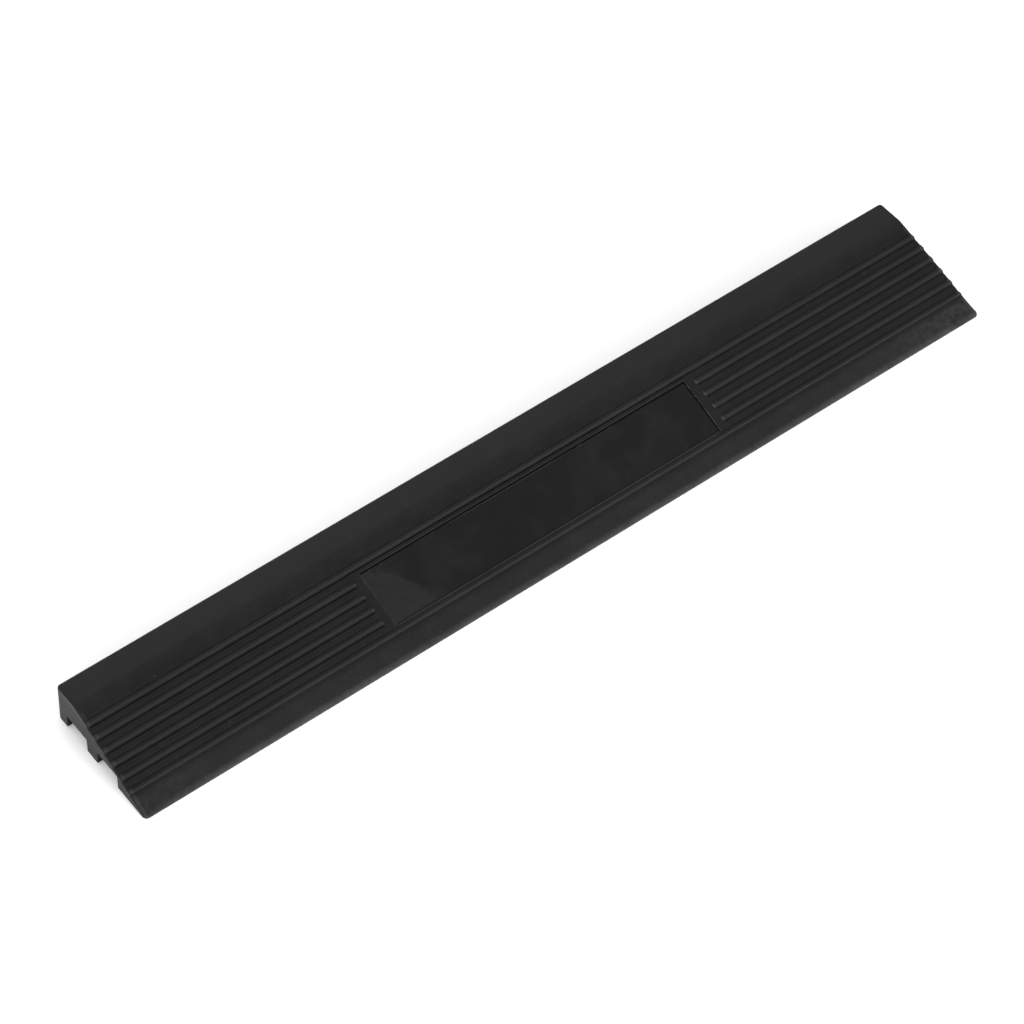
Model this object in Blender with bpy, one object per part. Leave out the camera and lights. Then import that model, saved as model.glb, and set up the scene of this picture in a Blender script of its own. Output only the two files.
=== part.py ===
"""A moulded rubber cable ramp, 400 x 61 x 18 mm, with a blank plate let into its slope.

The body is one moulding: a tall back wall, a flat top, a slope that steps down over six tread
ribs, and a thin rounded nose. Two cable channels run along its underside, open at both ends.
The plate lies in a shallow pocket halfway along the slope, between the first rib and the last.

Frame: metres, +Z up. The origin is on the floor under the middle of the footprint, +X runs
along the ramp, and +Y points at the tall back wall. "run" is a distance forward of the back
edge, so run 0 is the foot of the back wall and run WIDTH is the tip of the nose.
"""

import math

import bmesh
import bpy

MM = 0.001

LENGTH = 400.0 * MM
WIDTH = 61.0 * MM
HEIGHT = 18.0 * MM
END_DRAFT = math.tan(math.radians(5.5))
BACK_DRAFT = math.tan(math.radians(1.4))
BACK_CORNER_RADIUS = 1.5 * MM
NOSE_CORNER_RADIUS = 2.0 * MM
TOP_EDGE_RADIUS = 0.9 * MM
THIN_EDGE_SHARE = 0.45
DRAFT_REACH = 15.0 * MM

RIB_COUNT = 6
RIB_PITCH = 5.72 * MM
FIRST_CREST_RUN = 21.7 * MM
FIRST_CREST_HEIGHT = 15.7 * MM
CREST_FALL = 1.75 * MM
CREST_SAG = 0.075 * MM
RIB_WIDTH = 1.62 * MM
RIB_BACK_STEP = 0.22 * MM
RIB_BACK_SLANT = 0.22 * MM
CREST_RADIUS = 0.6 * MM
CREST_INSET = 0.35 * MM
DROP_DEPTH = 1.2 * MM
LAST_DROP_DEPTH = 0.75 * MM
DROP_ANGLE = math.radians(70.0)
FOOT_RADIUS = 0.3 * MM
VALLEY_ANGLE = math.radians(12.0)
VALLEY_MARGIN = 0.4 * MM

SHOULDER_RADIUS = 8.0 * MM
SHOULDER_ANGLE = math.radians(19.8)
NOSE_RUN = 58.3 * MM
NOSE_HEIGHT = 1.5 * MM
NOSE_TIP_HEIGHT = 0.2 * MM
NOSE_SLOPE = 0.3
NOSE_TOP_HANDLE = 0.7
NOSE_TIP_HANDLE = 0.4

RIB_STOP = 81.1 * MM
RIB_END_LENGTH = 1.0 * MM
FRAME_DROP = 0.9 * MM

POCKET_HALF_LENGTH = 77.95 * MM
POCKET_RUNS = (24.15 * MM, 47.65 * MM)
PLATE_ENDS = (-77.65 * MM, 77.45 * MM)
PLATE_RUNS = (24.6 * MM, 47.35 * MM)
PLATE_RECESS = 0.5 * MM
PLATE_THICKNESS = 1.0 * MM
PLATE_EDGE_RADIUS = 0.2 * MM
CLEARANCE = 0.3 * MM

BACK_CHANNEL_RUNS = (6.56 * MM, 20.79 * MM)
FRONT_CHANNEL_RUNS = (28.02 * MM, 42.18 * MM)
CHANNEL_HEIGHT = 6.3 * MM
CHANNEL_DRAFT = 0.12 * MM
LOW_ROOF_HEIGHT = 5.0 * MM
LOW_ROOF_HALF_LENGTH = 86.0 * MM
LOW_ROOF_RAMP = 8.0 * MM
CUTTER_OVERRUN = 2.0 * MM

CREST_POINTS = 4
FOOT_POINTS = 3
SHOULDER_POINTS = 5
NOSE_POINTS = 7
SLAB_POINTS = 9
EDGE_STEPS = 4
SMOOTH_ANGLE = math.radians(30.0)
BODY_COLOUR = (0.026, 0.026, 0.027)
BODY_ROUGHNESS = 0.55
PLATE_COLOUR = (0.020, 0.020, 0.021)
PLATE_ROUGHNESS = 0.45


def crest_line(run):
    """Height of the gently convex line that the tops of all the ribs touch."""
    step = (run - FIRST_CREST_RUN) / RIB_PITCH
    return FIRST_CREST_HEIGHT - CREST_FALL * step - CREST_SAG * step * step


def frame_line(run):
    """Height of the plain band that surrounds the plate, part way down the ribs."""
    return crest_line(run) - FRAME_DROP


def arc(centre_run, centre_height, radius, first_angle, last_angle, count):
    """Points on an arc in the cross-section, angles in radians from the forward direction."""
    points = []
    for k in range(count):
        angle = first_angle + (last_angle - first_angle) * k / (count - 1)
        points.append(
            (centre_run + radius * math.cos(angle), centre_height + radius * math.sin(angle))
        )
    return points


def rib_outline(crest_run, drop_depth):
    """One rib from its back crease, over the flat band and the crest, to the foot of its drop."""
    top = crest_line(crest_run)
    points = [
        (crest_run - RIB_WIDTH, top - RIB_BACK_STEP),
        (crest_run - RIB_WIDTH + RIB_BACK_SLANT, top),
    ]
    drop_facing = math.pi / 2 - DROP_ANGLE
    crest = arc(
        crest_run - CREST_INSET,
        top - CREST_RADIUS,
        CREST_RADIUS,
        math.pi / 2,
        drop_facing,
        CREST_POINTS,
    )
    drop_run = crest[-1][0] + (drop_depth - (top - crest[-1][1])) / math.tan(DROP_ANGLE)
    foot = arc(
        drop_run + FOOT_RADIUS * math.cos(drop_facing),
        top - drop_depth + FOOT_RADIUS * math.sin(drop_facing),
        FOOT_RADIUS,
        math.pi + drop_facing,
        1.5 * math.pi - VALLEY_ANGLE,
        FOOT_POINTS,
    )
    return points + crest + foot


def nose_outline():
    """The rounded nose, as a curve that leaves the slope smoothly and ends upright."""
    handle = NOSE_TOP_HANDLE * (WIDTH - NOSE_RUN)
    corners = [
        (NOSE_RUN, NOSE_HEIGHT),
        (NOSE_RUN + handle, NOSE_HEIGHT - handle * NOSE_SLOPE),
        (WIDTH, NOSE_TIP_HEIGHT + NOSE_TIP_HANDLE * (NOSE_HEIGHT - NOSE_TIP_HEIGHT)),
        (WIDTH, NOSE_TIP_HEIGHT),
    ]
    points = []
    for k in range(NOSE_POINTS):
        t = k / (NOSE_POINTS - 1)
        weights = ((1 - t) ** 3, 3 * t * (1 - t) ** 2, 3 * t * t * (1 - t), t**3)
        run = sum(w * c[0] for w, c in zip(weights, corners))
        height = sum(w * c[1] for w, c in zip(weights, corners))
        points.append((run, height))
    return points


def edge_distances():
    """Distances in from an edge, from 0 to the radius, that step evenly round its rounding."""
    angles = [math.pi / 2 * (1 - k / EDGE_STEPS) for k in range(EDGE_STEPS + 1)]
    return [TOP_EDGE_RADIUS * (1 - math.sin(angle)) for angle in angles]


def top_outline():
    """The whole top of the cross-section as (run, height), from the back edge to the nose."""
    inner = (0.5 * (TOP_EDGE_RADIUS + BACK_CORNER_RADIUS), BACK_CORNER_RADIUS)
    points = [(run, HEIGHT) for run in (*edge_distances(), *inner)]
    first_crease = (
        FIRST_CREST_RUN - RIB_WIDTH,
        crest_line(FIRST_CREST_RUN) - RIB_BACK_STEP,
    )
    curve_reach = SHOULDER_RADIUS * math.sin(SHOULDER_ANGLE)
    curve_fall = SHOULDER_RADIUS * (1 - math.cos(SHOULDER_ANGLE))
    straight_fall = HEIGHT - first_crease[1] - curve_fall
    shoulder_run = first_crease[0] - straight_fall / math.tan(SHOULDER_ANGLE) - curve_reach
    points += arc(
        shoulder_run,
        HEIGHT - SHOULDER_RADIUS,
        SHOULDER_RADIUS,
        math.pi / 2,
        math.pi / 2 - SHOULDER_ANGLE,
        SHOULDER_POINTS,
    )
    for index in range(RIB_COUNT):
        drop_depth = LAST_DROP_DEPTH if index == RIB_COUNT - 1 else DROP_DEPTH
        rib = rib_outline(FIRST_CREST_RUN + index * RIB_PITCH, drop_depth)
        if index:
            foot, crease = points[-1], rib[0]
            for margin in (VALLEY_MARGIN, crease[0] - foot[0] - VALLEY_MARGIN):
                share = margin / (crease[0] - foot[0])
                points.append((foot[0] + margin, foot[1] + share * (crease[1] - foot[1])))
        points += rib
    return points + nose_outline()


def rib_share(x):
    """1 where the short ribs stand, 0 on the band around the plate, rounded in between."""
    along = (abs(x) - RIB_STOP) / RIB_END_LENGTH
    if along <= 0:
        return 0.0
    return math.sqrt(1 - (1 - min(along, 1.0)) ** 2)


def top_height(x, run, height):
    """Height of the top above (x, run), where the cross-section through the ribs has height."""
    last_crest_run = FIRST_CREST_RUN + (RIB_COUNT - 1) * RIB_PITCH
    band_start = FIRST_CREST_RUN + RIB_WIDTH / 2
    band_end = last_crest_run - RIB_WIDTH - VALLEY_MARGIN / 2
    if band_start < run < band_end:
        share = rib_share(x)
        height = share * height + (1 - share) * frame_line(run)
    radius = min(TOP_EDGE_RADIUS, THIN_EDGE_SHARE * height)
    inside = min(radius, max(0.0, radius - edge_distance(x, run)))
    return height - radius + math.sqrt(radius * radius - inside * inside)


def end_reach(run):
    """Distance from the middle to the end of the footprint at this run, round at the corners."""
    for radius, distance in ((BACK_CORNER_RADIUS, run), (NOSE_CORNER_RADIUS, WIDTH - run)):
        if distance < radius:
            return LENGTH / 2 - radius + math.sqrt(max(0.0, radius**2 - (radius - distance) ** 2))
    return LENGTH / 2


def draft_share(distance):
    """1 at a drafted face, fading to 0 further into the ramp, where nothing leans."""
    return max(0.0, 1 - distance / DRAFT_REACH)


def edge_distance(x, run):
    """Distance in plan from the back edge and the ends, which the top edge is rounded towards."""
    radius = BACK_CORNER_RADIUS
    along = abs(x) - (LENGTH / 2 - radius)
    if along > 0 and run < radius:
        return radius - math.hypot(along, radius - run)
    return min(run, end_reach(run) - abs(x))


def cross_section_places():
    """Where the cross-sections stand, from one end to the other: (side, distance, from_end)."""
    angles = [math.pi / 2 * k / EDGE_STEPS for k in range(EDGE_STEPS + 1)]
    half = [(RIB_STOP + RIB_END_LENGTH * (1 - math.cos(angle)), False) for angle in angles]
    half.append((LENGTH / 2 - 2 * DRAFT_REACH, False))
    half.append((LENGTH / 2 - DRAFT_REACH, False))
    half.append((3 * BACK_CORNER_RADIUS, True))
    half += [(distance, True) for distance in reversed(edge_distances())]
    left = [(-1, distance, from_end) for distance, from_end in reversed(half)]
    return left + [(1, distance, from_end) for distance, from_end in half]


def add_closed_mesh(name, top, bottom):
    """A solid between two grids of points, top[i][j] over bottom[i][j], with i along +X."""
    mesh_builder = bmesh.new()
    top_verts = [[mesh_builder.verts.new(p) for p in row] for row in top]
    bottom_verts = [[mesh_builder.verts.new(p) for p in row] for row in bottom]
    rows, columns = len(top), len(top[0])
    for i in range(rows - 1):
        for j in range(columns - 1):
            upper = (top_verts[i][j], top_verts[i][j + 1], top_verts[i + 1][j + 1], top_verts[i + 1][j])
            lower = (
                bottom_verts[i][j],
                bottom_verts[i + 1][j],
                bottom_verts[i + 1][j + 1],
                bottom_verts[i][j + 1],
            )
            mesh_builder.faces.new(upper)
            mesh_builder.faces.new(lower)
    rim = [(i, 0) for i in range(rows)]
    rim += [(rows - 1, j) for j in range(1, columns)]
    rim += [(i, columns - 1) for i in range(rows - 2, -1, -1)]
    rim += [(0, j) for j in range(columns - 2, 0, -1)]
    for (i, j), (k, m) in zip(rim, rim[1:] + rim[:1]):
        wall = (top_verts[i][j], top_verts[k][m], bottom_verts[k][m], bottom_verts[i][j])
        mesh_builder.faces.new(wall)
    return add_object(name, mesh_builder)


def add_object(name, mesh_builder):
    """Turns a bmesh into an object of the scene, with its faces turned outwards."""
    bmesh.ops.recalc_face_normals(mesh_builder, faces=mesh_builder.faces)
    mesh = bpy.data.meshes.new(name)
    mesh_builder.to_mesh(mesh)
    mesh_builder.free()
    added = bpy.data.objects.new(name, mesh)
    bpy.context.scene.collection.objects.link(added)
    return added


def add_ramp_blank():
    """The ramp before the channels and the pocket are cut: a loft of cross-sections along X."""
    outline = top_outline()
    top, bottom = [], []
    for side, distance, from_end in cross_section_places():
        top_row, bottom_row = [], []
        for run, height in outline:
            reach = end_reach(run)
            x = side * (reach - distance if from_end else distance)
            z = top_height(x, run, height)
            top_x = x - side * END_DRAFT * z * draft_share(reach - abs(x))
            top_run = run + BACK_DRAFT * z * draft_share(run)
            top_row.append((top_x, WIDTH / 2 - top_run, z))
            bottom_row.append((x, WIDTH / 2 - run, 0.0))
        top.append(top_row)
        bottom.append(bottom_row)
    return add_closed_mesh("ramp_body", top, bottom)


def curved_slab(name, ends, runs, top_drop, bottom_drop):
    """A slab that follows the band's gentle curve, from top_drop to bottom_drop below it."""
    top, bottom = [], []
    for x in ends:
        top_row, bottom_row = [], []
        for k in range(SLAB_POINTS):
            run = runs[0] + (runs[1] - runs[0]) * k / (SLAB_POINTS - 1)
            top_row.append((x, WIDTH / 2 - run, frame_line(run) - top_drop))
            bottom_row.append((x, WIDTH / 2 - run, frame_line(run) - bottom_drop))
        top.append(top_row)
        bottom.append(bottom_row)
    return add_closed_mesh(name, top, bottom)


def add_channel_cutter(name, runs, low_roof):
    """A channel along the whole underside. Under the pocket its roof can dip to low_roof."""
    far = LENGTH / 2 + CUTTER_OVERRUN
    near = LOW_ROOF_HALF_LENGTH
    side_view = [
        (-far, -CUTTER_OVERRUN),
        (far, -CUTTER_OVERRUN),
        (far, CHANNEL_HEIGHT),
        (near + LOW_ROOF_RAMP, CHANNEL_HEIGHT),
        (near, low_roof),
        (-near, low_roof),
        (-near - LOW_ROOF_RAMP, CHANNEL_HEIGHT),
        (-far, CHANNEL_HEIGHT),
    ]
    mesh_builder = bmesh.new()
    sides = []
    for run, lean in ((runs[0], 1), (runs[1], -1)):
        side = []
        for x, z in side_view:
            drafted_run = run + lean * CHANNEL_DRAFT * z / CHANNEL_HEIGHT
            side.append(mesh_builder.verts.new((x, WIDTH / 2 - drafted_run, z)))
        mesh_builder.faces.new(side)
        sides.append(side)
    count = len(side_view)
    for k in range(count):
        following = (k + 1) % count
        mesh_builder.faces.new((sides[0][k], sides[0][following], sides[1][following], sides[1][k]))
    return add_object(name, mesh_builder)


def cut(body, cutter):
    """Hides the cutter and takes it away from the body."""
    cutter.hide_render = True
    cutter.display_type = "WIRE"
    boolean = body.modifiers.new(cutter.name, "BOOLEAN")
    boolean.operation = "DIFFERENCE"
    boolean.solver = "EXACT"
    boolean.object = cutter


def finish_piece(piece, colour, roughness):
    """Gives a piece its own material and smooth round stretches with sharp edges kept."""
    material = bpy.data.materials.new(piece.name)
    material.use_nodes = True
    shader = material.node_tree.nodes["Principled BSDF"]
    shader.inputs["Base Color"].default_value = (*colour, 1.0)
    shader.inputs["Roughness"].default_value = roughness
    shader.inputs["Metallic"].default_value = 0.0
    piece.data.materials.append(material)
    piece.data.shade_smooth()
    piece.data.set_sharp_from_angle(angle=SMOOTH_ANGLE)


def add_ramp_body():
    """The moulding: the lofted blank with its two cable channels and the plate's pocket."""
    body = add_ramp_blank()
    cut(body, add_channel_cutter("back_channel_cutter", BACK_CHANNEL_RUNS, CHANNEL_HEIGHT))
    cut(body, add_channel_cutter("front_channel_cutter", FRONT_CHANNEL_RUNS, LOW_ROOF_HEIGHT))
    pocket = curved_slab(
        "pocket_cutter",
        (-POCKET_HALF_LENGTH, POCKET_HALF_LENGTH),
        POCKET_RUNS,
        -CUTTER_OVERRUN,
        PLATE_RECESS + PLATE_THICKNESS + CLEARANCE,
    )
    cut(body, pocket)
    finish_piece(body, BODY_COLOUR, BODY_ROUGHNESS)


def add_inlay_plate():
    """The blank plate, which lies in the pocket a little nearer its left end and its front."""
    plate = curved_slab(
        "inlay_plate", PLATE_ENDS, PLATE_RUNS, PLATE_RECESS, PLATE_RECESS + PLATE_THICKNESS
    )
    bevel = plate.modifiers.new("edge_rounding", "BEVEL")
    bevel.width = PLATE_EDGE_RADIUS
    bevel.segments = 2
    bevel.limit_method = "ANGLE"
    bevel.angle_limit = SMOOTH_ANGLE
    finish_piece(plate, PLATE_COLOUR, PLATE_ROUGHNESS)


for leftover in list(bpy.data.objects):
    bpy.data.objects.remove(leftover)
add_ramp_body()
add_inlay_plate()
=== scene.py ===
"""The looks of the moulded rubber cable ramp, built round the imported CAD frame.

Metres, +Z up, +X along the ramp, +Y towards the tall back wall. "run" is a distance forward of
the back edge. The CAD nodes stay for collision, and finer meshes of the same shape stand for them.
"""

import math

import bpy
import numpy as np
from mathutils import Matrix, Vector, noise


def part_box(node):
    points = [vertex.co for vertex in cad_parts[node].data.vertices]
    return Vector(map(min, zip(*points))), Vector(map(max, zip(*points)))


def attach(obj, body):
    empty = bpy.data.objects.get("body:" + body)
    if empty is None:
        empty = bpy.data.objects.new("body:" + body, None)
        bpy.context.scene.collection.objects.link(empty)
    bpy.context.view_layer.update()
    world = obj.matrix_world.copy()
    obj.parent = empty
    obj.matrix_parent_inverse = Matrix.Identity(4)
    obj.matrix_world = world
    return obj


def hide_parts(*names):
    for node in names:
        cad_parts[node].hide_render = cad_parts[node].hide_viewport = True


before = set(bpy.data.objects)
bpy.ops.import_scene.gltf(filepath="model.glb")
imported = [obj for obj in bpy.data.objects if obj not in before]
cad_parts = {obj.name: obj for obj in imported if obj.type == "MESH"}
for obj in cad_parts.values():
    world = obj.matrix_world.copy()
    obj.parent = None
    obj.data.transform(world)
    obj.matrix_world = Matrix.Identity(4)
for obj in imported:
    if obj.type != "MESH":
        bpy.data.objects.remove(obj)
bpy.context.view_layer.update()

MM = 0.001
BODY_LOW, BODY_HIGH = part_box("ramp_body")
PLATE_BACK_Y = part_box("inlay_plate")[1][1]
LENGTH = BODY_HIGH[0] - BODY_LOW[0]
WIDTH = BODY_HIGH[1] - BODY_LOW[1]
HEIGHT = BODY_HIGH[2] - BODY_LOW[2]
BACK_Y = BODY_HIGH[1]
HALF_LENGTH = LENGTH / 2

# Ends, corners and rounded edges.
END_DRAFT = math.tan(math.radians(5.5))
BACK_DRAFT = math.tan(math.radians(1.4))
DRAFT_REACH = 15.0 * MM
BACK_CORNER_RADIUS = 1.5 * MM
NOSE_CORNER_RADIUS = 2.0 * MM
TOP_EDGE_RADIUS = 1.05 * MM
TOP_EDGE_POINTS = 7
THIN_EDGE_SHARE = 0.45
EDGE_MARGIN = 1.7 * MM

# Ribs. The back of a rib is given as (share of its slant, share of its step still to climb).
RIB_COUNT = 6
RIB_PITCH = 5.72 * MM
FIRST_CREST_RUN = 21.7 * MM
LAST_CREST_RUN = FIRST_CREST_RUN + (RIB_COUNT - 1) * RIB_PITCH
FIRST_CREST_HEIGHT = 15.7 * MM
CREST_FALL = 1.75 * MM
CREST_SAG = 0.075 * MM
RIB_WIDTH = 1.62 * MM
RIB_BACK_STEP = 0.24 * MM
RIB_BACK_SLANT = 0.16 * MM
RIB_BACK_CURVE = ((0.0, 1.0), (0.35, 0.55), (1.0, 0.12), (1.9, 0.0))
CREST_RADIUS = 0.42 * MM
CREST_INSET = 0.25 * MM
CREST_POINTS = 7
DROP_DEPTH = 1.2 * MM
LAST_DROP_DEPTH = 0.75 * MM
DROP_ANGLE = math.radians(70.0)
DROP_FACING = math.pi / 2 - DROP_ANGLE
FOOT_RADIUS = 0.2 * MM
FOOT_POINTS = 5
VALLEY_ANGLE = math.radians(12.0)
VALLEY_MARGIN = 0.4 * MM
VALLEY_SHARES = (0.12, 0.5, 0.88)

# The ribs' rounded ends.
RIB_STOP = 81.1 * MM
RIB_END_RADIUS = 0.9 * MM
RIB_END_ROUNDING = 0.9 * MM
RIB_END_BACK = RIB_WIDTH - 0.05 * MM
RIB_END_FRONT = 0.3 * MM
RIB_MIDDLE = 0.4 * RIB_WIDTH
PAST_THE_END = 10 * MM

# Fine creases, each (width, depth), and the shares of a width at which the mesh has lines. The
# creases get shallower towards the right.
FOOT_GROOVE = (0.65 * MM, 1.0 * MM)
LAST_FOOT_GROOVE = (0.45 * MM, 0.1 * MM)
BACK_GROOVE = (0.25 * MM, 0.35 * MM)
BACK_GROOVE_OFFSET = 0.4 * BACK_GROOVE[0]
FOOT_GROOVE_SHARES = (0, 0.5, 1)
BACK_GROOVE_SHARES = (-0.5, 0, 0.4)
GROOVE_FADE = (0.5 * MM, 1.5 * MM)
GROOVE_LOSS = 0.35
GROOVE_LOSS_PLACES = (-60 * MM, 140 * MM)

# The shoulder behind the first rib, and the nose in front of the last.
SHOULDER_RADIUS = 8.0 * MM
SHOULDER_ANGLE = math.radians(19.8)
SHOULDER_POINTS = 8
SLOPE_SHARES = (0.5, 0.93)
FRONT_SHARES = (0.15, 0.5, 0.85)
NOSE_RUN = 58.3 * MM
NOSE_HEIGHT = 1.5 * MM
NOSE_TIP_HEIGHT = 0.2 * MM
NOSE_SLOPE = 0.3
NOSE_TOP_HANDLE = 0.7
NOSE_TIP_HANDLE = 0.4
NOSE_POINTS = 14

# The pocket, the plate in it and the low bead in front of it.
FRAME_DROP = 0.9 * MM
POCKET_HALF_LENGTH = 77.95 * MM
POCKET_RUNS = (24.15 * MM, 47.65 * MM)
POCKET_DEPTH = 1.8 * MM
POCKET_EDGE_RADIUS = 0.25 * MM
POCKET_WALL_STEPS = (-0.01 * MM, 0.01 * MM, 0.03 * MM, 0.08 * MM, 0.15 * MM)
PLATE_RECESS = 0.5 * MM
PLATE_THICKNESS = 1.0 * MM
PLATE_EDGE_RADIUS = 0.12 * MM
PLATE_EDGE_POINTS = 5
PLATE_SNUG_GAP = 0.04 * MM
PLATE_RIGHT_GAP = 0.32 * MM
RAGGED_REACH = 3 * MM
BEAD_RUNS = (47.6 * MM, 48.45 * MM)
BEAD_HEIGHT = 0.16 * MM
BEAD_LEAN = 0.6
BEAD_FADE = 2.0 * MM
BEAD_POINTS = 8

# Cable channels, each (start run, end run, height of its roof under the pocket).
CHANNELS = ((6.56 * MM, 20.79 * MM, 6.3 * MM), (28.02 * MM, 42.18 * MM, 5.0 * MM))
CHANNEL_HEIGHT = 6.3 * MM
CHANNEL_DRAFT = 0.12 * MM
CHANNEL_ROOF_RADIUS = 0.5 * MM
CHANNEL_ROOF_POINTS = 5
FOOT_EDGE_RADIUS = 0.25 * MM
FOOT_EDGE_POINTS = 4
LOW_ROOF_HALF_LENGTH = 86.0 * MM
LOW_ROOF_RAMP = 8.0 * MM

# Where cross-sections stand, as distances from the middle: (first, stop, spacing) of two rows, and
# (first, last, count) about the ribs' inner ends. The last ones are distances from the end face.
MIDDLE_SECTIONS = (4.0 * MM, POCKET_HALF_LENGTH - 1.0 * MM, 6.0 * MM)
OUTER_SECTIONS = (RIB_STOP + 5.0 * MM, HALF_LENGTH - 9.0 * MM, 5.0 * MM)
RIB_END_SECTIONS = (RIB_STOP - 0.05 * MM, RIB_STOP + 1.9 * RIB_END_RADIUS, 14)
END_SECTIONS = (7.5 * MM, 4.0 * MM, 2.5 * MM, EDGE_MARGIN)

# The plate's grid along x and along the run: (inset from the edge, number of lines).
PLATE_COLUMNS = (1.0 * MM, 120)
PLATE_ROWS = (0.8 * MM, 16)

# Irregularities of moulded rubber, each (size, amount). The noise is read on one layer, and the
# long wave of the plate's back edge on a row of its own. The body's wave fades near its edges.
BODY_WAVE = (9.0 * MM, 0.05 * MM)
PLATE_WAVE = (14.0 * MM, 0.05 * MM)
BACK_EDGE_NICKS = (1.6 * MM, 0.16 * MM)
BACK_EDGE_WAVE = (9.0 * MM, 0.22 * MM)
RIGHT_EDGE_NICKS = (1.5 * MM, 0.2 * MM)
NOISE_LAYER = 3.7
WAVE_ROW = 1.0
BODY_WAVE_FADE = (1.5 * MM, 6.0 * MM)

SHARP_ANGLE = math.radians(38.0)
GRID_DECIMALS = 7

# Base colours, and the plain values of the shaders and of the floor.
# The darkest rubber also stands as painted shade in the valleys, and the worn grey also stands as
# painted light on the top, front and crests.
DARK_RUBBER = (0.0027, 0.0027, 0.0028)
WORN_AND_LIT_RUBBER = (0.0098, 0.0098, 0.01)
END_RUBBER = (0.0105, 0.0105, 0.0107)
PALE_END = (0.0165, 0.0165, 0.0168)
# Grey for real scuffs, and also for the painted highlights on the rib tips, lip, rims and nose rim.
SCUFF_AND_HIGHLIGHT_GREY = (0.042, 0.042, 0.043)
SPECK_GREY = (0.032, 0.032, 0.033)
FLOOR_SHADES = ((0.92, 0.92, 0.92), (0.95, 0.95, 0.95))
RUBBER_SPECULAR = 0.15
PLATE_SPECULAR = 0.135
FLOOR_SPECULAR = 0.2
FLOOR_ROUGHNESS = 0.9
FLOOR_HALF_SIZE = 3.0
FLOOR_HEIGHT = -0.2 * MM

# Noise: scale per metre, detail, roughness, distortion.
CLOUDY_NOISE = (38.0, 4.0, 0.6)
PATCHY_NOISE = (160.0, 4.0, 0.6, 0.4)
GRAIN_NOISE = (1300.0, 2.0)
LIP_NOISE = (420.0, 2.0)
SCUFF_NOISE = (420.0, 5.0, 0.7)
SPECK_NOISE = (520.0, 3.0, 0.7)
PLATE_CLOUDS = (56.0, 4.0, 0.55, 0.6)
PLATE_GRAIN_NOISE = (1500.0, 2.0)
PLATE_SPECK_NOISE = (700.0, 2.0, 0.6)
RAGGED_NOISE = (120.0, 4.0, 0.6)
STREAK_NOISE = (300.0, 4.0, 0.7)
FLASH_NOISE = (160.0, 3.0, 0.6)
FLOOR_NOISE = (6.0, 2.0)
COARSE_SHARE = 0.6

# Where the looks change. Two numbers are where a change starts and ends, or its values there, and
# four are both. First, how strongly each place of the body is painted paler as painted light on the
# top, the front, the rib crests and the bead, which leaves the valleys dark as painted shade.
TOP_EDGE_RUNS = (17.2 * MM, 13.8 * MM)
TOP_EDGE_SHARES = (0.15, 0.5)
TOP_RUNS = (12.0 * MM, 2.0 * MM)
TOP_SHARES = (0.85, 1.1)
FRONT_RUNS = (50.5 * MM, 54.0 * MM)
FRONT_PALENESS = 0.8
CREST_RISE = (FIRST_CREST_HEIGHT - 0.6 * MM, FIRST_CREST_HEIGHT - 0.1 * MM)
RIB_PALENESS = 0.15
BEAD_EDGE = 0.2 * MM
PALE_BEAD_REACH = 78 * MM
PALE_BEAD_FADE = 2 * MM
BEAD_PALENESS = 0.4
PAINTED_LIGHT_TONE = 0.8
MOTTLE_TONE = (0.35, 0.66, -0.12, 0.25)
GRAIN_TONE = (0.3, 0.7, -0.1, 0.1)
FRONT_GRAIN = (1.0, 3.0)

# Painted highlights on the rib tips and on the lip beside the plate.
OUTER_TIP = (HALF_LENGTH - 1.5 * MM, HALF_LENGTH - 0.6 * MM)
INNER_TIP = (RIB_STOP, RIB_STOP + 0.9 * MM)
TIP_FADE = 0.3 * MM
SHORT_RIB_RUNS = (25 * MM, 46 * MM)
SHORT_RIB_FADE = 0.5 * MM
TIP_RISE = (FIRST_CREST_HEIGHT - 0.8 * MM, FIRST_CREST_HEIGHT - 0.5 * MM)
TIP_START_RUNS = (15.5 * MM, 18.0 * MM)
TIP_HIGHLIGHT = 0.3
LIP_PLACES = (77.9 * MM, 78.25 * MM)
LIP_EDGE = 0.15 * MM
LIP_RUNS = (24.2 * MM, 47.6 * MM)
LIP_RUN_FADE = 0.3 * MM
LIP_PATCHES = (0.44, 0.58, 0.1, 1.0)
LIP_SIDES = (-70 * MM, 70 * MM, 0.25, 0.5)

# The end faces, the painted highlight line under their top border and the painted highlight line on
# the rounded edge above.
END_FACE = (HALF_LENGTH - 0.5 * MM, HALF_LENGTH - 0.1 * MM)
END_PATCHES = (0.35, 0.65)
RIM_RUNS = (13.0 * MM, 23.0 * MM)
RIM_HEIGHTS = (HEIGHT, HEIGHT - 3.6 * MM)
RIM_DEPTHS = (0.8 * MM, 2.0 * MM)
RIM_EDGE = 0.35 * MM
RIM_PALE_RUNS = (8 * MM, 17 * MM)
RIM_PALE_FADE = 6 * MM
END_RIM_HIGHLIGHT = 0.9
EDGE_RIM = (HALF_LENGTH - 0.35 * MM, HALF_LENGTH - 0.06 * MM)
EDGE_RIM_FADE = 0.04 * MM
EDGE_RIM_RUNS = (17.5 * MM, 20 * MM)
EDGE_RIM_RUN_FADE = 2 * MM
EDGE_RIM_HIGHLIGHT = 0.3

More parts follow.
